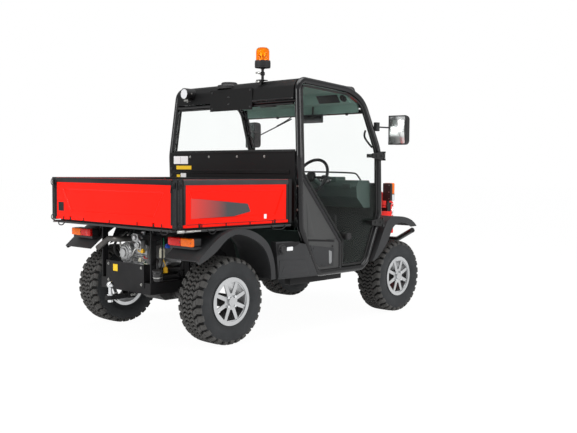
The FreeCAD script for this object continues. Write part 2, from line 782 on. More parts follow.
# Engine, gearbox and exhaust
def power_unit():
    """The engine's ribbed castings, open to view behind the rear axle, and the gearbox under
    it with the shafts to the rear wheels."""
    left_shift = s.engine_left_shift
    rear = FRAME_REAR + s.engine_tail_gap
    y = left_shift - s.engine_width / 2
    top = s.engine_floor + s.engine_height
    crankcase = plate("Crankcase", "YZ", [spread(
        ((0.06, 0), (0.94, 0), (1, 0.22), (1, 0.62), (0.80, 0.90), (0.62, 1), (0.24, 1), (0, 0.70),
         (0, 0.18)), y, s.engine_floor, s.engine_width, s.engine_height)],
        s.engine_length, at=(rear, 0, 0), rounds=((s.casting_wall, (0, 1, 2, 3, 5, 6, 7, 8)),))
    parts = [crankcase]
    rib_count = 6
    rib_pitch = s.engine_height * 0.11
    for index in range(rib_count):
        parts.append(box(f"EngineRib{index}", rear - s.casting_wall, y + s.engine_width * 0.14,
                         s.engine_floor + s.engine_height * 0.16 + rib_pitch * index,
                         s.casting_wall * 2, s.engine_width * 0.34, s.casting_wall * 0.5))
    cover_z = s.engine_floor + s.engine_height * 0.46
    cover_y = y + s.engine_width * 0.70
    parts.append(cylinder("TimingCover", "X", rear - s.casting_wall * 3, cover_y, cover_z,
                          s.engine_height * 0.30, s.casting_wall * 4))
    parts.append(cone("FilterCap", "X", rear - s.casting_wall * 5.5, cover_y, cover_z,
                      s.engine_height * 0.12, s.engine_height * 0.20, s.casting_wall * 3))
    parts.append(cylinder("OilFiller", "Z", rear + s.casting_wall * 4, y + s.engine_width * 0.36,
                          top - s.casting_wall, s.casting_wall * 1.6, s.casting_wall * 3))
    node("engine", fuse("Engine", *parts))
    length, width, height = s.gearbox_length, s.gearbox_width, s.gearbox_height
    case = plate("GearCase", "XZ", [spread(
        ((0, 0.20), (0.16, 0), (0.84, 0), (1, 0.30), (1, 1), (0.05, 1), (0, 0.8)),
        REAR_AXLE - length / 2, s.gearbox_floor, length, height)], width, both_ways=True,
        rounds=((s.casting_wall, (0, 1, 2, 3, 6)),))
    reach = s.gearbox_width / 2 + s.casting_wall * 3
    outputs = cylinder("GearOutputs", "Y", REAR_AXLE, -reach, AXLE_HEIGHT, s.shaft_diameter * 1.5, reach * 2)
    bell = cone("ClutchBell", "Z", REAR_AXLE + length * 0.1, 0, s.gearbox_floor + height,
                s.gearbox_width * 0.42, s.gearbox_width * 0.52,
                s.engine_floor - s.gearbox_floor - height)
    end = KINGPIN - s.knuckle_width / 2
    shaft = cylinder("HalfShaft", "Y", REAR_AXLE, -end, AXLE_HEIGHT, s.shaft_diameter / 2, end)
    boot = cone("ShaftBoot", "Y", REAR_AXLE, -reach - s.shaft_diameter * 2, AXLE_HEIGHT,
                s.shaft_diameter * 0.6, s.shaft_diameter * 1.3, s.shaft_diameter * 2)
    shafts = both_sides("HalfShafts", fuse("ShaftRight", shaft, boot))
    node("gearbox", fuse("Gearbox", case, outputs, bell, shafts))


def exhaust():
    """The tail pipe from the engine's rear face, bent to the left behind the bed's pivot."""
    engine_rear = FRAME_REAR + s.engine_tail_gap
    run_x = PIVOT_X - s.bed_pin - s.running_gap - s.pipe_diameter / 2
    y = s.engine_left_shift
    z = s.engine_floor + s.engine_height * 0.90
    pipe = bent_tube("TailPipe", (
        (engine_rear, y, z), (run_x, y, z), (run_x, y + s.pipe_diameter * 2.6, z),
        (run_x, s.rail_spread / 2 + s.rail_width * 0.75, z - s.pipe_diameter * 1.9)),
        (s.pipe_diameter * 1.1, s.pipe_diameter * 1.1), s.pipe_diameter)
    flange = cylinder("PipeFlange", "X", engine_rear - s.casting_wall, y, z, s.pipe_diameter * 0.8,
                      s.casting_wall)
    mouth = strut("PipeMouth", (run_x, y + s.pipe_diameter * 2.6, z),
                  (run_x, s.rail_spread / 2 + s.rail_width, z - s.pipe_diameter * 2.1),
                  s.pipe_diameter * 0.86)
    node("exhaust", fuse("Exhaust", cut("TailPipeOpen", pipe, mouth), flange))


# Tow gear
def tow_gear():
    """The folded guard plate over the tail, and the drawbar under the frame with its ball."""
    rear = FRAME_REAR - s.drawbar_reach
    guard_x = FRAME_REAR - s.guard_sheet
    half = s.guard_width / 2
    sheet = s.guard_sheet
    guard = plate("Guard", "XY", [[
        (guard_x, -half), (guard_x + s.guard_flange, -half), (guard_x + s.guard_flange, -half + sheet),
        (guard_x + sheet, -half + sheet), (guard_x + sheet, half - sheet),
        (guard_x + s.guard_flange, half - sheet), (guard_x + s.guard_flange, half), (guard_x, half)]],
        s.guard_height, at=(0, 0, s.guard_floor))
    clear = box("GuardClear", FRAME_REAR, -RAIL_OUTER, FRAME_FLOOR,
                s.guard_flange * 2, RAIL_OUTER * 2, s.rail_height)
    node("rear_guard", cut("RearGuard", guard, clear))
    top = s.drawbar_floor + s.drawbar_height
    ball_x = rear + s.ball_setback
    width = s.drawbar_width
    bar = plate("Drawbar", "XY", [[
        (rear + width * 0.25, -width / 2), (FRAME_REAR + s.guard_flange, -width / 2),
        (FRAME_REAR + s.guard_flange, width / 2), (rear + width * 0.25, width / 2),
        (rear, width * 0.22), (rear, -width * 0.22)],
        (rear + width * 1.55, 0, s.chain_hole / 2)], s.drawbar_height, at=(0, 0, s.drawbar_floor))
    cheek_x = FRAME_REAR
    cheek = box("HitchCheek", cheek_x, -width / 2 - s.bed_ear, s.drawbar_floor,
                s.guard_flange, s.bed_ear, FRAME_FLOOR - s.drawbar_floor)
    cheeks = both_sides("HitchCheeks", cheek)
    node("tow_hitch", fuse("TowHitch", bar, cheeks))
    radius = s.ball_diameter / 2
    sphere = ball("TowSphere", ball_x, 0, s.ball_height, radius)
    neck = cylinder("TowNeck", "Z", ball_x, 0, top, radius * 0.52, s.ball_height - top)
    collar = cylinder("TowCollar", "Z", ball_x, 0, top, radius * 0.9, radius * 0.4)
    nut = cylinder("TowNut", "Z", ball_x, 0, s.drawbar_floor - radius * 0.8, radius * 0.7, radius * 0.8)
    node("tow_ball", group("TowBall", fuse("TowBallTop", sphere, neck, collar), nut))


# Cab tube work
HOOP_SHARES = ((0.205, 0.0, 0), (0.018, 0.241, 0), (0.0, 0.615, 0), (0.038, 1.0, 1.0),
               (0.643, 0.977, 1.0), (0.823, 0.926, 0.92), (0.987, 0.649, 0.09), (1.0, 0.281, 0),
               (0.833, 0.033, 0), (0.763, 0.0, 0))
HOOP_BEND_SHARES = (1.6, 3.0, 7.0, 1.6, 7.0, 4.0, 7.0, 4.0, 2.6, 1.2)


def cab_point(along_share, up_share, lean_share=0):
    """A point on the right-hand hoop's centre line."""
    return (REAR_AXLE + s.cab_rear_reach + s.cab_length * along_share,
            -(s.cab_half_width - s.cab_lean * lean_share),
            s.sill_height + s.cab_height * up_share)


def hoop_points():
    middle = cab_point(0.48, 0.0)
    return [middle] + [cab_point(*shares) for shares in HOOP_SHARES] + [cab_point(0.481, 0.0)]


def opening_face(inset):
    """The side opening inside the hoop, flat in XZ, inset from the tube's centre line."""
    flat = [(x, as_size(0), z) for x, y, z in hoop_points()]
    wire = bent_path(flat[:-1] + [flat[0]], [s.hoop_tube * share for share in HOOP_BEND_SHARES])
    shrunk = wire.makeOffset2D(-float(inset), 2, False, False, False)
    return Part.Face(shrunk)


BAR_TOP_SHARES = (0.012, 0.515)
BAR_KNEE_SHARES = (0.484, 0.155)


def behind_bar(shift):
    """The region behind and below the slanted bar, shifted forward, as a closed outline."""
    top_x, _, top_z = cab_point(*BAR_TOP_SHARES)
    knee_x, _, knee_z = cab_point(*BAR_KNEE_SHARES)
    run = math.hypot(float(knee_x - top_x), float(knee_z - top_z))
    lean_x = shift * (float(top_z - knee_z) / run)
    lean_z = shift * (float(knee_x - top_x) / run)
    rear = REAR_AXLE
    slope = (top_z - knee_z) / (knee_x - top_x)
    wall = knee_x + shift
    start_x = rear
    start_z = top_z + lean_z + slope * (top_x + lean_x - rear)
    wall_z = knee_z + lean_z - slope * (wall - knee_x - lean_x)
    return [(start_x, 0), (wall, 0), (wall, wall_z), (start_x, start_z)]


def side_band(name, inner, depth):
    """A band along X, as deep as a side piece, that leans in above the belt as the hoop does."""
    belt = s.sill_height + s.cab_height * HOOP_SHARES[2][1]
    top = s.sill_height + s.cab_height
    lean = s.cab_lean
    rise = s.cut_overrun * 4
    slope = lean / (top - belt)
    return plate(name, "YZ", [[
        (-inner, 0), (-inner, belt), (-inner + lean + slope * rise, top + rise),
        (-inner - depth + lean + slope * rise, top + rise), (-inner - depth, belt), (-inner - depth, 0)]],
        s.cab_length * 1.2, at=(REAR_AXLE + s.cab_rear_reach - s.cab_length * 0.1, 0, 0))


def side_piece(name, face, inner, depth):
    """A side panel or pane: a flat outline cut from the leaning band."""
    block = face.copy()
    block.translate(vector(0, -(inner - s.cab_lean * 2), 0))
    slab = feature(f"{name}Slab", block.extrude(vector(0, -(depth + s.cab_lean * 3), 0)))
    return common(name, side_band(f"{name}Band", inner, depth), slab)


def polygon_face(points):
    rows = [vector(x, 0, z) for x, z in points]
    return Part.Face(Part.makePolygon(rows + rows[:1]))


def cab_tubes():
    """Bent side hoops with the slanted bar below each door, and the bars between them."""
    points = hoop_points()
    hoop = bent_tube("HoopTube", points, [s.hoop_tube * share for share in HOOP_BEND_SHARES], s.hoop_tube)
    closing = strut("HoopClosing", cab_point(0.47, 0.0), cab_point(0.49, 0.0), s.hoop_tube)
    knee = cab_point(*BAR_KNEE_SHARES)
    foot = (knee[0], knee[1], s.sill_height + HOOP_RADIUS / 2)
    bar = bent_tube("SlantBar", (cab_point(*BAR_TOP_SHARES), knee, foot), (s.bar_tube,), s.bar_tube)
    side = fuse("CabHoopRight", hoop, closing, bar)
    half = s.cab_half_width
    bars = [both_sides("CabHoops", side)]
    for name, along_share, up_share in (("TopRear", 0.030, 0.893), ("BeltRear", 0.002, 0.605),
                                        ("Header", 0.862, 0.868), ("Cowl", 0.990, 0.455)):
        x, _, z = cab_point(along_share, up_share)
        lean = belt_shift(up_share) if up_share > HOOP_SHARES[2][1] else 0
        bars.append(cylinder(f"Bar{name}", "Y", x, -(half - lean), z, s.cross_tube / 2, (half - lean) * 2))
    return fuse("CabFrameTubes", *bars)


def belt_shift(up_share):
    """How far the side leans in at a height, worked out on the hoop's upper run."""
    return s.cab_lean * ((up_share - HOOP_SHARES[2][1]) / (1 - HOOP_SHARES[2][1]))


def cab_sides(tubes):
    """The quarter panels behind the slanted bars and the locker lids below them."""
    inset = HOOP_RADIUS * 0.6
    opening = opening_face(inset)
    rear_part = polygon_face(behind_bar(-s.bar_tube * 0.3))
    both = opening.common(rear_part).Faces[0]
    inner = s.cab_half_width - s.panel_skin / 2
    panel = side_piece("QuarterPanel", both, inner, s.panel_skin)
    split_z = s.sill_height + s.cab_height * 0.170
    gap = box("PanelSplit", REAR_AXLE, -HALF_WIDTH, split_z, s.cab_length * 2, s.cab_half_width,
              s.seat_gap * 10)
    trimmed = cut("QuarterTrimmed", panel, tubes, gap)
    node("cab_sides", both_sides("CabSides", trimmed))


def doors(tubes):
    """All-glass doors in a slim seal frame, hung from two straps at the front."""
    skin = s.door_skin
    inner = s.cab_half_width - skin / 2
    outline_inset = HOOP_RADIUS + s.running_gap
    glass_inset = outline_inset + s.door_seal
    behind = polygon_face(behind_bar(s.bar_tube / 2 + s.running_gap))
    behind_glass = polygon_face(behind_bar(s.bar_tube / 2 + s.running_gap + s.door_seal))
    outer_face = opening_face(outline_inset).cut(behind).Faces[0]
    inner_face = opening_face(glass_inset).cut(behind_glass).Faces[0]
    frame_face = outer_face.cut(inner_face).Faces[0]
    ring = side_piece("DoorRing", frame_face, inner, skin)
    pane_inner = s.cab_half_width - s.glass_skin / 2
    pane = side_piece("DoorPane", inner_face, pane_inner, s.glass_skin)
    axis_x = REAR_AXLE + s.hinge_ahead
    axis_y = s.cab_half_width + s.hinge_offset
    straps = []
    brackets = []
    for name, up_share in (("Upper", 0.62), ("Lower", 0.247)):
        z = s.sill_height + s.cab_height * up_share - s.hinge_height / 2
        strap = plate(f"Strap{name}", "XZ", [[
            (axis_x - s.hinge_height * 2.1, z + s.hinge_height * 0.25),
            (axis_x, z), (axis_x, z + s.hinge_height),
            (axis_x - s.hinge_height * 2.1, z + s.hinge_height * 0.75)]],
            s.hinge_pin, at=(0, -(axis_y - s.hinge_pin / 2), 0))
        pad_width = s.hinge_height * 0.55
        foot = box(f"StrapFoot{name}", axis_x - s.hinge_height * 2.0, -(axis_y), z + s.hinge_height * 0.3,
                   pad_width, axis_y - s.cab_half_width + s.door_skin, s.hinge_height * 0.4)
        barrel = cylinder(f"StrapBarrel{name}", "Z", axis_x, -axis_y, z + s.hinge_height * 0.25,
                          s.hinge_pin, s.hinge_height * 0.5)
        bore = cylinder(f"StrapBore{name}", "Z", axis_x, -axis_y, z - s.cut_overrun,
                        s.hinge_pin / 2 + s.pin_gap, s.hinge_height + s.cut_overrun * 2)
        ends = [box(f"StrapEnd{name}{index}", axis_x - s.hinge_pin * 1.4, -(axis_y + s.hinge_pin * 1.5),
                    low, s.hinge_pin * 3, s.hinge_pin * 3, s.hinge_height * 0.25)
                for index, low in enumerate((z, z + s.hinge_height * 0.75))]
        straps.append(cut(f"StrapCut{name}", fuse(f"StrapBody{name}", strap, foot, barrel), bore, *ends))
        pin = cylinder(f"HingePin{name}", "Z", axis_x, -axis_y, z, s.hinge_pin / 2, s.hinge_height)
        ears = []
        for index, low in enumerate((z, z + s.hinge_height * 0.78)):
            ear_out = axis_y + s.hinge_pin * 0.8
            ears.append(box(f"HingeEar{name}{index}", axis_x - s.hinge_pin, -ear_out, low,
                            s.hinge_pin * 2, ear_out - s.cab_half_width, s.hinge_height * 0.22))
        brackets.append(cut(f"HingeBracket{name}", fuse(f"HingeEars{name}", pin, *ears), tubes))
    latch_x, _, latch_z = cab_point(0.55, 0.183)
    latch = cylinder("DoorLatch", "Y", latch_x, -(inner + skin + s.door_seal), latch_z, s.hinge_height * 0.36,
                     skin + s.door_seal)
    door = fuse("DoorFrameRight", ring, *straps)
    door_frame = fuse("DoorFrameLatched", door, latch)
    glass = cut("DoorGlassRight", pane, latch, *straps)
    node("door_frame_right", door_frame)
    node("door_frame_left", mirrored("DoorFrameLeft", door_frame))
    node("door_glass_right", glass)
    node("door_glass_left", mirrored("DoorGlassLeft", glass))
    pin_x, pin_z = bonnet_hinge()
    cowl_x, _, cowl_z = cab_point(0.990, 0.455)
    arm_y = s.bonnet_hinge_spread / 2 - s.hinge_tab * 1.2
    arm_end = pin_x + s.hinge_tab / 2
    arm = plate("BonnetArm", "XZ", [[
        (cowl_x, cowl_z - s.hinge_tab / 2), (arm_end, pin_z - s.hinge_tab / 2),
        (arm_end, pin_z + s.hinge_tab / 2), (cowl_x, cowl_z + s.hinge_tab / 2)]],
        s.hinge_tab, at=(0, -(arm_y - s.hinge_tab), 0))
    pin = cylinder("BonnetPin", "Y", pin_x, -(s.bonnet_hinge_spread / 2), pin_z, s.board_pin / 2,
                   s.hinge_tab * 2)
    bonnet_arm = fuse("BonnetHinge", arm, pin)
    hinges = both_sides("DoorHinges", group("HingesRight", bonnet_arm, *brackets))
    node("cab_frame", fuse("CabFrame", tubes, hinges))


# Cab shell
def cab_shell(tubes):
    """The bent floor and toe board, the rear panel, roof, liner, windscreen and rear window."""
    half = s.cab_half_width - HOOP_RADIUS * 0.6
    sheet = s.floor_sheet
    rear_x, _, _ = cab_point(0.20, 0)
    bend_x, _, _ = cab_point(0.77, 0.006)
    kick_x, _, kick_z = cab_point(0.825, 0.045)
    wall_x, _, wall_z = cab_point(0.965, 0.281)
    top_x, _, top_z = cab_point(0.968, 0.452)
    floor_z = s.frame_top
    floor = plate("CabFloorSheet", "XZ", [[
        (rear_x, floor_z), (bend_x, floor_z), (kick_x, kick_z - sheet / 2), (wall_x, wall_z), (top_x, top_z),
        (top_x - sheet, top_z), (wall_x - sheet, wall_z), (kick_x - sheet, kick_z + sheet / 2),
        (bend_x - sheet / 2, floor_z + sheet), (rear_x, floor_z + sheet)]], half * 2, both_ways=True)
    node("cab_floor", cut("CabFloor", floor, tubes))
    back_x = REAR_AXLE + s.cab_rear_reach - s.cross_tube / 2 - s.rear_panel_skin
    low = s.bed_floor_height - s.bed_drop
    panel = box("RearSheet", back_x, -half, low, s.rear_panel_skin, half * 2, s.rear_panel_top - low)
    rib = box("RearRib", back_x - s.rear_panel_skin / 2, -half + s.hoop_tube,
              low + (s.rear_panel_top - low) * 0.70, s.rear_panel_skin, (half - s.hoop_tube) * 2,
              s.rear_panel_skin)
    node("rear_panel", cut("RearPanel", fuse("RearPanelRaw", panel, rib), tubes))
    roof_outer = [cab_point(*point) for point in ((0.0, 0.905), (0.005, 0.965), (0.05, 1.006), (0.30, 1.010),
                                                  (0.643, 0.990), (0.80, 0.945), (0.876, 0.888))]
    roof_line = [(x, z) for x, _, z in roof_outer]
    skin = s.roof_skin
    offsets = ((1, 0), (1, -0.4), (0.5, -1), (0, -1), (-0.15, -1), (-0.5, -0.85), (-1, 0))
    inner_line = [(x + skin * across, z + skin * up) for (x, z), (across, up) in zip(roof_line, offsets)]
    roof = plate("RoofShell", "XZ", [roof_line + inner_line[::-1]],
                 (TOP_HALF_WIDTH - HOOP_RADIUS * 0.4) * 2, both_ways=True,
                 rounds=((s.hoop_tube * 0.9, (1,)), (s.hoop_tube * 1.2, (2,)), (s.hoop_tube * 3, (5,))))
    node("roof", cut("Roof", roof, tubes))
    liner_drop = skin + s.seat_gap
    liner_top = [(x, z - liner_drop) for x, z in roof_line[2:6]]
    liner_low = [(x, z - s.liner_skin) for x, z in liner_top]
    first = (roof_line[1][0] + skin * 2.2, liner_top[0][1])
    liner_top[0] = first
    liner_low[0] = (first[0], first[1] - s.liner_skin)
    liner = plate("LinerSheet", "XZ", [liner_top + liner_low[::-1]],
                  (TOP_HALF_WIDTH - HOOP_RADIUS) * 2, both_ways=True)
    node("roof_liner", cut("RoofLiner", liner, roof, tubes))
    low_x, _, low_z = cab_point(0.976, 0.474)
    mid_x, _, mid_z = cab_point(0.958, 0.640)
    high_x, _, high_z = cab_point(0.862, 0.856)
    glass = s.glass_skin
    screen = plate("ScreenSheet", "XZ", [[
        (low_x, low_z), (low_x + glass, low_z), (mid_x + glass, mid_z), (high_x + glass, high_z),
        (high_x, high_z), (mid_x, mid_z)]], half * 2, both_ways=True)
    front_glass = cut("Windscreen", screen, tubes)
    low_x, _, _ = cab_point(0.004, 0.0)
    high_x, _, high_z = cab_point(0.026, 0.884)
    low_z = s.rear_panel_top + s.seat_gap
    window = plate("WindowSheet", "XZ", [[
        (low_x, low_z), (low_x + glass, low_z), (high_x + glass, high_z), (high_x, high_z)]],
        half * 2, both_ways=True)
    node("cab_glass", group("CabGlass", front_glass, cut("RearWindow", window, tubes)))


# Cab interior
def interior():
    """The locker under the seats, two seats, the dashboard and the steering wheel."""
    sheet = s.floor_sheet
    floor_top = s.frame_top + sheet
    base_x = cab_point(0.085, 0)[0]
    half = s.cab_half_width - s.door_skin * 2 - s.bar_tube
    base = plate("SeatBox", "XZ", [[
        (base_x, floor_top), (base_x + s.seat_base_length, floor_top),
        (base_x + s.seat_base_length * 1.06, floor_top + s.seat_base_height * 0.8),
        (base_x + s.seat_base_length * 1.06, floor_top + s.seat_base_height),
        (base_x, floor_top + s.seat_base_height)]], half * 2, both_ways=True)
    node("seat_base", base)
    seat_top = floor_top + s.seat_base_height + s.seat_gap
    cushion_x = base_x + s.back_skin * 0.5
    cushion = plate("Cushion", "XZ", [[
        (cushion_x, seat_top), (cushion_x + s.cushion_length * 0.94, seat_top),
        (cushion_x + s.cushion_length, seat_top + s.cushion_height * 0.4),
        (cushion_x + s.cushion_length * 0.97, seat_top + s.cushion_height),
        (cushion_x, seat_top + s.cushion_height * 0.86)]], s.seat_width,
        at=(0, -s.seat_split / 2, 0), rounds=((s.cushion_height * 0.2, (2, 3)),))
    node("seat_cushions", both_sides("SeatCushions", cushion))
    back_low = seat_top + s.cushion_height * 0.9 + s.seat_gap
    back_x = base_x + s.back_skin * 0.25
    lean = s.back_skin * 0.35
    back = plate("Backrest", "XZ", [[
        (back_x + lean, back_low), (back_x + lean + s.back_skin, back_low),
        (back_x + s.back_skin, back_low + s.back_height * 0.75),
        (back_x + s.back_skin * 0.85, back_low + s.back_height),
        (back_x, back_low + s.back_height)]], s.seat_width,
        at=(0, -s.seat_split / 2, 0), rounds=((s.back_skin * 0.25, (3, 4)),))
    node("seat_backs", both_sides("SeatBacks", back))
    wall_x, _, _ = cab_point(0.9656, 0)
    top_z = cab_point(0, 0.482)[2]
    dash_front = wall_x - sheet - s.seat_gap
    low_z = top_z - s.dash_height
    depth = s.dash_depth
    dash = plate("DashSection", "XZ", [[
        (dash_front, low_z), (dash_front, top_z - sheet * 2), (dash_front - depth * 0.1, top_z),
        (dash_front - depth * 0.85, top_z), (dash_front - depth, top_z - s.dash_height * 0.22),
        (dash_front - depth * 0.94, top_z - s.dash_height * 0.62),
        (dash_front - depth * 0.45, low_z)]], (half + s.bar_tube / 2) * 2, both_ways=True,
        rounds=((s.dash_depth * 0.08, (2, 3, 4, 5)),))
    hub_x = dash_front - depth * 1.75
    hub_z = top_z + s.dash_height * 0.10
    column_end = (dash_front - depth * 0.5, -s.driver_offset, top_z - s.dash_height * 0.45)
    axis = (column_end[0] - hub_x, column_end[2] - hub_z)
    length = math.hypot(float(axis[0]), float(axis[1]))
    tip_share = 1 - float(s.seat_gap + s.wheel_rim_section / 2) / length
    column_start = (column_end[0] - axis[0] * tip_share, -s.driver_offset,
                    column_end[2] - axis[1] * tip_share)
    column = strut("Column", column_start, column_end, s.column_diameter)
    node("dashboard", fuse("Dashboard", dash, column))
    steering_wheel(hub_x, hub_z, axis)


def steering_wheel(hub_x, hub_z, axis):
    """A three-spoke steering wheel square to its column."""
    centre = vector(hub_x, -s.driver_offset, hub_z)
    normal = vector(axis[0], 0, axis[1]).normalize()
    radius = float(s.wheel_rim_diameter - s.wheel_rim_section) / 2
    section = float(s.wheel_rim_section) / 2
    ring = Part.makeTorus(radius, section, centre, normal)
    hub_radius = float(s.column_diameter) * 0.95
    hub = Part.makeCylinder(hub_radius, section * 2, centre - normal * section, normal)
    side = FreeCAD.Vector(0, 1, 0)
    down = normal.cross(side)
    down = down if down.z < 0 else down * -1
    spokes = []
    for direction in (side, side * -1, down):
        spokes.append(Part.makeCylinder(section * 0.7, radius, centre, direction))
    node("steering_wheel", feature("SteeringWheel", ring.multiFuse([hub] + spokes)))


# Cargo bed
def cargo_bed():
    """The tipping bed: a floor on channels with its front wall and corner posts, and three
    hinged boards."""
    rear, front, half = BED_REAR, BED_FRONT, BED_HALF
    skin, post, gap = s.bed_skin, s.post_width, s.running_gap
    floor_z = s.bed_floor_height
    low_z = floor_z - s.bed_drop
    top_z = s.bed_rail_height
    edge = skin + gap * 1.5
    inner_half = half - edge
    floor = box("BedFloorSheet", rear + edge, -inner_half, floor_z,
                front - rear - edge, inner_half * 2, s.bed_floor_skin)
    front_wall = box("BedFrontWall", front - skin, -half, low_z, skin, half * 2, top_z - low_z)
    parts = [floor, front_wall]
    for side_name, side in SIDES.items():
        y = -half if side < 0 else half - post
        parts.append(box(f"BedPost{side_name}", rear, y, low_z, post, post, top_z - low_z))
    beam_low = floor_z - s.bed_beam
    for index, y_share in enumerate((-0.52, -0.18, 0.18, 0.52)):
        parts.append(box(f"BedBeam{index}", rear + edge, half * y_share - s.bed_beam / 2, beam_low,
                         front - rear - edge, s.bed_beam, s.bed_beam))
    ear_low = s.bed_pivot_height - s.bed_pin
    ear_y = s.bed_pivot_spread / 2 - s.bed_ear / 2
    ear = box("BedEar", PIVOT_X - s.bed_pin, -(ear_y + s.bed_ear), ear_low,
              s.bed_pin * 2, s.bed_ear, floor_z - ear_low)
    bore = cylinder("BedEarBore", "Y", PIVOT_X, -(ear_y + s.bed_ear + s.cut_overrun), s.bed_pivot_height,
                    s.bed_pin / 2 + s.pin_gap, s.bed_ear + s.cut_overrun * 2)
    parts.append(both_sides("BedEars", cut("BedEarBored", ear, bore)))
    head_x, head_z = lift_head()
    for index, y in enumerate((-s.lift_offset - s.lift_eye * 1.2, -s.lift_offset + s.lift_eye * 0.7)):
        parts.append(box(f"LiftHeadEar{index}", head_x - s.lift_pin, y, head_z - s.lift_pin,
                         s.lift_pin * 2, s.lift_eye * 0.5, floor_z - head_z + s.lift_pin))
    parts.append(cylinder("LiftHeadPin", "Y", head_x, -s.lift_offset - s.lift_eye, head_z,
                          s.lift_pin / 2, s.lift_eye * 2))
    tab, reach = s.hinge_tab, skin * 0.76
    drop = s.board_pin * 1.6
    tab_top = s.bed_drop * 1.2
    tab_profile = [(-reach, 0), (edge * 1.6, 0), (edge * 1.6, tab_top), (edge - skin / 2, tab_top),
                   (edge - skin / 2, drop), (-reach, drop)]
    tab_profile = [(along + skin - reach * 0.3, up) for along, up in tab_profile]
    axis_in, axis_z = skin / 2, low_z + drop / 2
    length = front - rear - skin - gap - post - gap
    board_x = rear + post + gap
    board_tabs = []
    board_notches = []
    for index, share in enumerate((0.14, 0.86)):
        x = board_x + length * share
        flap_outline = [(inward - half, low_z + up) for inward, up in tab_profile]
        flap = plate(f"BoardTab{index}", "YZ", [flap_outline], tab, at=(x - tab / 2, 0, 0))
        pin = cylinder(f"BoardPin{index}", "X", x - tab * 1.5, axis_in - half, axis_z,
                       s.board_pin / 2, tab * 3)
        board_tabs.append(fuse(f"BoardHinge{index}", flap, pin))
        slot = box(f"BoardSlot{index}", x - tab * 0.8, -(half + s.cut_overrun), low_z - s.cut_overrun,
                   tab * 1.6, skin + s.cut_overrun * 2, s.cut_overrun + drop * 1.6)
        hole = cylinder(f"BoardHole{index}", "X", x - tab * 2, axis_in - half, axis_z,
                        s.board_pin / 2 + s.pin_gap, tab * 4)
        board_notches += [slot, hole]
    parts.append(both_sides("BoardHinges", group("BoardHingesRight", *board_tabs)))
    gate_half = half - post - gap
    gate_notches = []
    for index, share in enumerate((-0.72, 0.72)):
        y = gate_half * share
        flap = plate(f"GateTab{index}", "XZ", [[(rear + inward, low_z + up) for inward, up in tab_profile]],
                     tab, at=(0, y + tab / 2, 0))
        pin = cylinder(f"GatePin{index}", "Y", rear + axis_in, y - tab * 1.5, axis_z,
                       s.board_pin / 2, tab * 3)
        parts += [flap, pin]
        slot = box(f"GateSlot{index}", rear - s.cut_overrun, y - tab * 0.8, low_z - s.cut_overrun,
                   skin + s.cut_overrun * 2, tab * 1.6, s.cut_overrun + drop * 1.6)
        hole = cylinder(f"GateHole{index}", "Y", rear + axis_in, y - tab * 2, axis_z,
                        s.board_pin / 2 + s.pin_gap, tab * 4)
        gate_notches += [slot, hole]
    node("bed_tub", fuse("BedTub", *parts))
    board = plate("SideBoard", "YZ", [[
        (-half, low_z), (-(half - skin), low_z), (-(half - skin), top_z), (-half, top_z)]],
        length, at=(board_x, 0, 0))
    sunk = skin * 0.2
    board_field = pressing("BoardField", "XZ", length, top_z - low_z, sunk, FIELD_SLOPE, board_x, low_z,
                           (0, sunk - half, 0))
    right = cut("BoardRight", board, board_field, *board_notches)
    node("board_right", right)
    node("board_left", mirrored("BoardLeft", right))
    gate = box("Gate", rear, -gate_half, low_z, skin, gate_half * 2, top_z - low_z)
    gate_field = pressing("GateField", "YZ", gate_half * 2, top_z - low_z, sunk, -FIELD_SLOPE, -gate_half,
                          low_z, (rear, 0, 0))
    node("tailgate", cut("Tailgate", gate, gate_field, *gate_notches))


FIELD_SHARES = ((0.14, 0.20), (0.06, 0.74), (0.94, 0.74), (0.86, 0.20))
FIELD_SLOPE = 55


def pressing(name, plane, length, height, depth, slope, start, low_z, at):
    """The shallow pressed field of a board: a plate wider at its top, with sloped walls."""
    outline = spread(FIELD_SHARES, start, low_z, length, height)
    body = plate(name, plane, [outline], depth, at=at)
    body.Tip.TaperAngle = slope
    return body


def lift_cylinder():
    """The hydraulic cylinder that tips the bed: a barrel on the frame and a rod to the bed."""
    foot_x, foot_z = lift_foot()
    head_x, head_z = lift_head()
    y = -s.lift_offset
    eye = s.lift_eye
    run = math.hypot(float(head_x - foot_x), float(head_z - foot_z))

    def along(distance):
        share = distance / run
        return (foot_x + (head_x - foot_x) * share, y, foot_z + (head_z - foot_z) * share)

    low_eye = cylinder("BarrelEye", "Y", foot_x, y - eye / 2, foot_z, eye, eye)
    barrel = strut("Barrel", along(eye * 0.85), along(s.lift_barrel_length), s.lift_bore)
    hollow = strut("BarrelHollow", along(eye * 1.4), along(s.lift_barrel_length * 1.5),
                   s.lift_rod + s.pin_gap * 2)
    low_hole = cylinder("BarrelPinHole", "Y", foot_x, y - eye, foot_z, s.lift_pin / 2 + s.pin_gap, eye * 2)
    node("lift_barrel", cut("LiftBarrel", fuse("BarrelBody", low_eye, barrel), hollow, low_hole))
    rod = strut("Rod", along(eye * 1.6), along(run - eye * 0.8), s.lift_rod)
    top_eye = cylinder("RodEye", "Y", head_x, y - eye / 2, head_z, eye, eye)
    top_hole = cylinder("RodEyeHole", "Y", head_x, y - eye, head_z, s.lift_pin / 2 + s.lift_slack, eye * 2)
    node("lift_rod", cut("LiftRod", fuse("RodBody", rod, top_eye), top_hole))


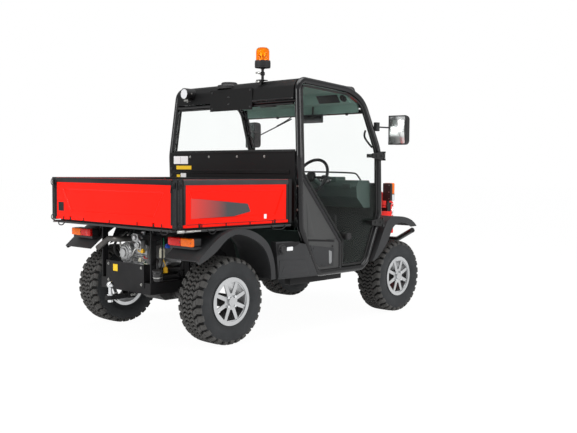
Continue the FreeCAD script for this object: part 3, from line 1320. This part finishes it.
# Fenders and lower body
REAR_LIP_SHARES = ((-1.155, 0.945), (-0.93, 1.04), (-0.62, 1.23), (-0.336, 1.45), (-0.045, 1.53),
                   (0.253, 1.474), (0.56, 1.346), (0.794, 1.163), (0.938, 0.93), (1.03, 0.42))
REAR_CROWN_SHARES = ((-1.20, 1.01), (-0.965, 1.21), (-0.63, 1.46), (-0.34, 1.60), (-0.03, 1.655), (0.29, 1.62),
                     (0.63, 1.49), (0.92, 1.27), (1.09, 0.96), (1.17, 0.42))
FRONT_LIP_SHARES = ((0.27, 1.40), (0.0, 1.512), (-0.362, 1.528), (-0.60, 1.43), (-0.79, 1.157), (-1.06, 0.84),
                    (-1.45, 0.57))
FRONT_CROWN_SHARES = ((0.52, 1.41), (0.34, 1.55), (-0.04, 1.68), (-0.48, 1.715), (-0.80, 1.65), (-1.01, 1.42),
                      (-1.18, 1.12), (-1.36, 0.80), (-1.52, 0.57))


def round_axle(shares, axle):
    """A row of points given as shares of the tyre's radius about an axle."""
    radius = s.tyre_diameter / 2
    return [(axle + radius * across, AXLE_HEIGHT + radius * up) for across, up in shares]


def fender(name, lip_shares, crown_shares, axle, inner):
    """A moulded wheel arch: a crowned skin that ends in a deep rolled lip at its outer edge."""
    lip = round_axle(lip_shares, axle)
    crown = round_axle(crown_shares, axle)
    under = [(x + (low_x - x) * 0.2, z + (low_z - z) * 0.2)
             for (x, z), (low_x, low_z) in zip(crown, stretch(lip, len(crown)))]
    outer = HALF_WIDTH
    band = smooth_plate(f"{name}Band", [crown, lip[::-1]], outer - s.fender_lip, s.fender_lip)
    skin = smooth_plate(f"{name}Skin", [crown, under[::-1]], inner, outer - s.fender_lip - inner)
    return fuse(name, band, skin)


def stretch(points, count):
    """The row of points with as many points as asked, spaced along the row."""
    spots = []
    for index in range(count):
        at = index * (len(points) - 1) / (count - 1)
        low = min(int(at), len(points) - 2)
        share = at - low
        (x0, z0), (x1, z1) = points[low], points[low + 1]
        spots.append((x0 + (x1 - x0) * share, z0 + (z1 - z0) * share))
    return spots


def fenders(tubes, nose_form):
    """Moulded arches over all four wheels; the rear ones carry a shelf for the tail lamps."""
    arch = fender("RearArch", REAR_LIP_SHARES, REAR_CROWN_SHARES, REAR_AXLE, s.fender_inner)
    shelf = box("LampShelf", REAR_AXLE + s.tail_lamp_reach, -(s.tail_lamp_inner + s.tail_lamp_width),
                s.tail_lamp_floor - s.fender_lip, s.lamp_length * 2, s.tail_lamp_width, s.fender_lip)
    rear = fuse("RearFender", arch, shelf)
    node("rear_fenders", both_sides("RearFenders", rear))
    front = fender("FrontFender", FRONT_LIP_SHARES, FRONT_CROWN_SHARES, FRONT_AXLE, s.front_fender_inner)
    node("front_fenders", both_sides("FrontFenders", cut("FrontFenderCut", front, tubes, nose_form)))


SIDE_PANEL_SHARES = ((0.10, 0.035), (0.96, 0.0), (0.68, 0.88), (0.40, 0.98), (0.04, 1.0))


def side_panels(tubes):
    """The moulded panels between rear arch and cab, the right one with the filler cap."""
    x = REAR_AXLE + s.tyre_diameter * 0.59
    length = REAR_AXLE + s.cab_rear_reach + s.cab_length * 0.218 - x
    floor = s.sill_height - HOOP_RADIUS * 0.6
    height = s.tyre_diameter * 0.46
    inner = s.cab_half_width - s.tank_skin / 2
    panel = plate("SidePanel", "XZ", [spread(SIDE_PANEL_SHARES, x, floor, length, height)],
                  s.tank_skin, at=(0, -inner, 0))
    trimmed = cut("SidePanelCut", panel, tubes)
    pair = both_sides("SidePanels", trimmed)
    cap = cylinder("FillerCap", "Y", x + length * 0.17, -(inner + s.tank_skin + s.rim_wall * 2),
                   floor + height * 0.80, s.hoop_tube * 0.62, s.rim_wall * 2)
    node("side_panels", group("SidePanelsAll", pair, cap))


# Nose
NOSE_SIDE_SHARES = ((0.0, 0.0), (1.0, 0.0), (1.0, 0.30), (0.93, 0.50), (0.70, 0.70), (0.35, 0.86),
                    (0.0, 0.97))
NOSE_PLAN_SHARES = ((0.0, 1.0), (0.50, 0.97), (0.86, 0.86), (1.0, 0.62))


def nose_block(name, inset):
    """The nose as one closed form, inset all round by a wall: its side view met by its plan."""
    x = REAR_AXLE + s.nose_rear_reach
    length = s.nose_front_reach - s.nose_rear_reach - inset
    z = s.nose_floor
    height = s.nose_top - s.nose_floor - inset
    half = s.nose_half_width - inset
    side = plate(f"{name}Side", "XZ", [spread(NOSE_SIDE_SHARES, x, z, length, height)], half * 2,
                 both_ways=True, rounds=((s.nose_skin * 4, (3,)), (s.nose_skin * 5, (4,)),))
    plan = [(x + length * along, half * out) for along, out in NOSE_PLAN_SHARES]
    outline = plan + [(along, -out) for along, out in reversed(plan)]
    top = plate(f"{name}Plan", "XY", [outline], height, at=(0, 0, z),
                rounds=((s.nose_skin * 5, (2, 5)), (s.nose_skin * 4, (3, 4))))
    return common(name, side, top)


def bonnet_hinge():
    """Where the bonnet turns, just ahead of the cowl bar."""
    rise = (s.nose_top - s.nose_floor) * NOSE_SIDE_SHARES[-1][1]
    return (REAR_AXLE + s.nose_rear_reach - s.hinge_tab, s.nose_floor + rise - s.nose_skin / 2)


def nose(outer):
    """The hinged bonnet, the nose panel under it with its grille, headlamps, and the radiator
    that carries the panel on the frame."""
    skin = s.nose_skin
    inner = nose_block("NoseInner", skin)
    shell = cut("NoseShell", outer, inner)
    x = REAR_AXLE + s.nose_rear_reach
    length = s.nose_front_reach - s.nose_rear_reach
    height = s.nose_top - s.nose_floor
    half = s.nose_half_width + s.cut_overrun
    upper_shares = ((-0.1, 0.64), (0.70, 0.52), (0.80, 0.56), (0.94, 0.56), (0.94, 1.2), (-0.1, 1.2))
    upper = plate("BonnetRegion", "XZ", [spread(upper_shares, x, s.nose_floor, length, height)],
                  half * 2, both_ways=True)
    lower = plate("BonnetClear", "XZ", [[(px, pz - s.running_gap) for px, pz in
                                         spread(upper_shares, x, s.nose_floor, length, height)]],
                  half * 2, both_ways=True)
    pin_x, pin_z = bonnet_hinge()
    lug_y = -(s.bonnet_hinge_spread / 2)
    lug = box("BonnetLug", pin_x - s.hinge_tab / 2, lug_y, pin_z - s.hinge_tab / 2,
              s.hinge_tab, s.hinge_tab, s.hinge_tab)
    strap = box("BonnetStrap", pin_x, lug_y, pin_z - s.hinge_tab / 2, s.hinge_tab * 2.4, s.hinge_tab,
                s.hinge_tab / 2)
    bore = cylinder("BonnetBore", "Y", pin_x, -s.bonnet_hinge_spread, pin_z, s.board_pin / 2 + s.pin_gap,
                    s.bonnet_hinge_spread)
    lugs = both_sides("BonnetLugs", cut("BonnetLugBored", fuse("BonnetLugWhole", lug, strap), bore))
    node("bonnet", fuse("BonnetHinged", common("Bonnet", shell, upper), lugs))
    lamp_y = s.nose_half_width * 0.50
    lamp_z = s.nose_floor + height * 0.33
    lamp_x = x + length * 0.80
    lamp_box = box("LampBox", lamp_x, -half, lamp_z, length * 0.4, half - lamp_y, height * 0.24)
    lamp_space = both_sides("LampSpace", lamp_box)
    lamp = cut("HeadLampCut", common("HeadLampBlock", outer, lamp_box), lower)
    node("headlamps", both_sides("Headlamps", lamp))
    grille_half = s.nose_half_width * 0.46
    grille_low = s.nose_floor + height * 0.06
    mouth = box("GrilleMouth", x + length * 0.9, -grille_half, grille_low, length * 0.2, grille_half * 2,
                height * 0.40)
    panel = cut("NosePanelOpen", shell, lower, lamp_space, mouth)
    bars = []
    bar_count = 5
    pitch = height * 0.40 / bar_count
    front = REAR_AXLE + s.nose_front_reach
    for index in range(bar_count):
        bars.append(box(f"GrilleBar{index}", front - skin, -grille_half, grille_low + pitch * (index + 0.3),
                        skin, grille_half * 2, pitch * 0.4))
    for index, y_share in enumerate((-1, -0.34, 0.32, 0.98)):
        bars.append(box(f"GrillePost{index}", front - skin, grille_half * y_share, grille_low,
                        skin, skin, height * 0.40))
    node("nose_panel", fuse("NosePanel", panel, *bars))
    core_x = x + length * 0.80
    core = common("RadiatorCore", inner, box("RadiatorBlock", core_x - s.radiator_skin, -half, s.nose_floor,
                                             s.radiator_skin, half * 2, height * 0.30))
    legs = []
    for side_name, side in SIDES.items():
        y = s.rail_spread / 2 * side - s.rail_width / 2
        legs.append(box(f"RadiatorLeg{side_name}", core_x - s.radiator_skin, y, s.frame_top,
                        s.radiator_skin, s.rail_width, s.nose_floor + skin - s.frame_top))
    node("radiator", fuse("Radiator", core, *legs))
    bumper()


def bumper():
    """The front bumper: a bent tube across the nose on two uprights from the frame."""
    radius = s.bumper_tube / 2
    front = s.overall_length / 2 - radius
    half = s.bumper_half_width
    back = front - s.bumper_tube * 1.7
    low = s.bumper_height
    high = low + s.bumper_tube * 2.2
    bar = bent_tube("BumperBar", (
        (back, -half, high), (front, -half * 0.62, low), (front, half * 0.62, low), (back, half, high)),
        (s.bumper_tube * 2.4, s.bumper_tube * 2.4), s.bumper_tube)
    end = FRAME_FRONT
    parts = [bar]
    for side_name, side in SIDES.items():
        y = s.rail_spread / 2 * side
        mount = bent_tube(f"BumperMount{side_name}", (
            (end, y, s.frame_top - s.rail_height / 2), (front, y, s.frame_top - s.rail_height / 2),
            (front, y, low)), (s.bumper_tube,), s.bumper_tube * 0.8)
        parts.append(mount)
    node("bumper", fuse("Bumper", *parts))


# Lamps, mirrors and roof kit
def rear_lamps():
    x = REAR_AXLE + s.tail_lamp_reach
    lamp_outer = s.tail_lamp_inner + s.tail_lamp_width
    lamp_top = s.tail_lamp_floor + s.tail_lamp_height
    lens = plate("TailLens", "YZ", [[
        (-lamp_outer, s.tail_lamp_floor), (-s.tail_lamp_inner, s.tail_lamp_floor),
        (-s.tail_lamp_inner, lamp_top), (-lamp_outer, lamp_top)]],
        s.lamp_length, at=(x, 0, 0), rounds=((s.tail_lamp_height * 0.2, (0, 1, 2, 3)),))
    node("tail_lamps", both_sides("TailLamps", lens))


def turn_signals(nose_form):
    """Front turn signals on angled brackets from the nose's sides."""
    x = REAR_AXLE + s.signal_reach
    y = -(s.nose_half_width + s.running_gap + s.signal_width)
    body = plate("Signal", "YZ", [[
        (y, s.signal_floor), (y + s.signal_width, s.signal_floor),
        (y + s.signal_width, s.signal_floor + s.signal_height), (y, s.signal_floor + s.signal_height)]],
        s.lamp_length, at=(x, 0, 0), rounds=((s.lamp_length * 0.15, (0, 1, 2, 3)),))
    width = s.bracket_width
    foot_z = s.nose_floor + (s.nose_top - s.nose_floor) * 0.44
    foot = box("SignalFoot", x + s.lamp_length / 2 - width / 2, y + s.signal_width / 2, foot_z,
               width, s.signal_width, width)
    stem = box("SignalStem", x + s.lamp_length / 2 - width / 2, y + s.signal_width / 2, foot_z,
               width, width * 0.5, s.signal_floor - foot_z + width * 0.5)
    right = cut("SignalRight", fuse("SignalBody", body, foot, stem), nose_form)
    node("turn_signals", both_sides("TurnSignals", right))


MIRROR_FLOOR_SHARE = 0.6846


def mirrors(tubes):
    """Door mirrors on bent arms clamped to the front pillars."""
    x = REAR_AXLE + s.mirror_reach
    y = -(s.mirror_inner + s.mirror_width)
    floor_z = s.sill_height + s.cab_height * MIRROR_FLOOR_SHARE
    head = plate("MirrorHead", "YZ", [[
        (y, floor_z), (y + s.mirror_width, floor_z),
        (y + s.mirror_width, floor_z + s.mirror_height), (y, floor_z + s.mirror_height)]],
        s.mirror_skin, at=(x, 0, 0), rounds=((s.mirror_width * 0.22, (0, 1, 2, 3)),))
    pillar = cab_point(0.945, 0.72, 0.25)
    arm_z = floor_z + s.mirror_height * 0.6
    arm = bent_tube("MirrorArm", (
        (pillar[0], pillar[1], arm_z), (x + s.mirror_skin * 0.5, pillar[1] - s.mirror_arm * 2, arm_z),
        (x + s.mirror_skin * 0.5, y + s.mirror_width * 0.5, arm_z)),
        (s.mirror_arm * 2,), s.mirror_arm)
    clamp = box("MirrorClamp", pillar[0] - s.hoop_tube * 0.4, pillar[1] - s.hoop_tube * 0.75,
                arm_z - s.hoop_tube * 0.7, s.hoop_tube * 0.8, s.hoop_tube * 0.6, s.hoop_tube * 1.4)
    right = cut("MirrorRight", fuse("MirrorBody", head, arm, clamp), tubes)
    node("mirrors", both_sides("Mirrors", right))


LENS_SHARES = ((0.0, 0.0), (0.86, 0.0), (0.86, 0.72), (0.78, 0.88), (0.60, 0.97), (0.40, 1.0), (0.0, 1.0))


def turned(name, profile, at):
    """A body turned about an upright axis from one outline."""
    body = doc.addObject("PartDesign::Body", name)
    sketch = sketch_on(body, f"{name}Outline", "XZ")
    draw_polygon(sketch, profile)
    turn = body.newObject("PartDesign::Revolution", f"{name}Turn")
    turn.Profile = sketch
    turn.ReferenceAxis = (origin_feature(body, "Z_Axis"), [""])
    turn.Angle = 360
    place(body, *at)
    return body


def roof_kit():
    """The number plate holder, warning beacon and work lamps carried by the roof."""
    rear_x, _, top_z = cab_point(0.0, 0.985)
    plate_x = rear_x - s.plate_sheet - s.seat_gap
    plate_top = s.sill_height + s.cab_height * 0.975
    sheet = box("PlateSheet", plate_x, -s.plate_width / 2, plate_top - s.plate_height,
                s.plate_sheet, s.plate_width, s.plate_height)
    node("plate_holder", sheet)
    radius = s.beacon_diameter / 2
    base_z = CAB_TOP + s.beacon_pole_length
    lens_z = base_z + s.beacon_base_height
    beacon_x = rear_x + s.hoop_tube
    y = -s.beacon_offset
    lens = turned("BeaconLens", [(radius * out, s.beacon_lens_height * up) for out, up in LENS_SHARES],
                  at=(beacon_x, y, lens_z))
    node("beacon_lens", lens)
    base = cylinder("BeaconBase", "Z", beacon_x, y, base_z, radius, s.beacon_base_height)
    pole = cylinder("BeaconPole", "Z", beacon_x, y, CAB_TOP, s.beacon_pole / 2, s.beacon_pole_length)
    node("beacon_base", cut("BeaconStand", fuse("BeaconStandBody", base, pole), NODES["roof"]))
    lamp = s.work_lamp_diameter / 2
    fascia = rear_x - s.seat_gap
    rear_lamp = cut("WorkLampRearSide", cylinder("WorkLampRear", "X", fascia - lamp * 1.6, s.plate_width,
                                                 top_z - lamp * 0.6, lamp, lamp * 2), NODES["roof"])
    front_x, _, front_z = cab_point(0.80, 0.985)
    front_lamp = cylinder("WorkLampFront", "X", front_x + lamp, -s.plate_width, front_z, lamp, lamp * 1.6)
    stem_x, stem_low = front_x + lamp * 1.8, front_z - lamp * 1.7
    stem = bent_tube("WorkLampStem", (
        (stem_x, -s.plate_width, front_z), (stem_x, -s.plate_width, stem_low),
        (front_x - lamp * 0.8, -s.plate_width, stem_low)), (s.mirror_arm,), s.mirror_arm)
    front_side = cut("WorkLampFrontSide", fuse("WorkLampOnStem", front_lamp, stem), NODES["roof"],
                     NODES["roof_liner"])
    node("work_lamps", group("WorkLamps", rear_lamp, both_sides("WorkLampsFront", front_side)))


def check_and_export():
    """Stop if any object failed, and otherwise write one file for each node."""
    doc.recompute()
    for thing in doc.Objects:
        if "Invalid" in thing.State or "Error" in thing.State:
            raise RuntimeError(f"{thing.Name} failed: {thing.State}")
    for label, solid in NODES.items():
        if solid.Shape.isNull() or not solid.Shape.isValid() or not solid.Shape.Solids:
            raise RuntimeError(f"{label} has no valid solid")
    os.makedirs("parts", exist_ok=True)
    for label, solid in NODES.items():
        solid.Shape.exportStep(f"parts/{label}.step")
        print(label, len(solid.Shape.Solids), round(solid.Shape.Volume / 1000))


wheels()
axle_gear()
coil_overs()
power_unit()
exhaust()
tow_gear()
tubes = cab_tubes()
cab_sides(tubes)
doors(tubes)
cab_shell(tubes)
interior()
cargo_bed()
lift_cylinder()
nose_form = nose_block("NoseOuter", as_size(0))
fenders(tubes, nose_form)
side_panels(tubes)
main_frame()
nose(nose_form)
rear_lamps()
turn_signals(nose_form)
mirrors(tubes)
roof_kit()
check_and_export()
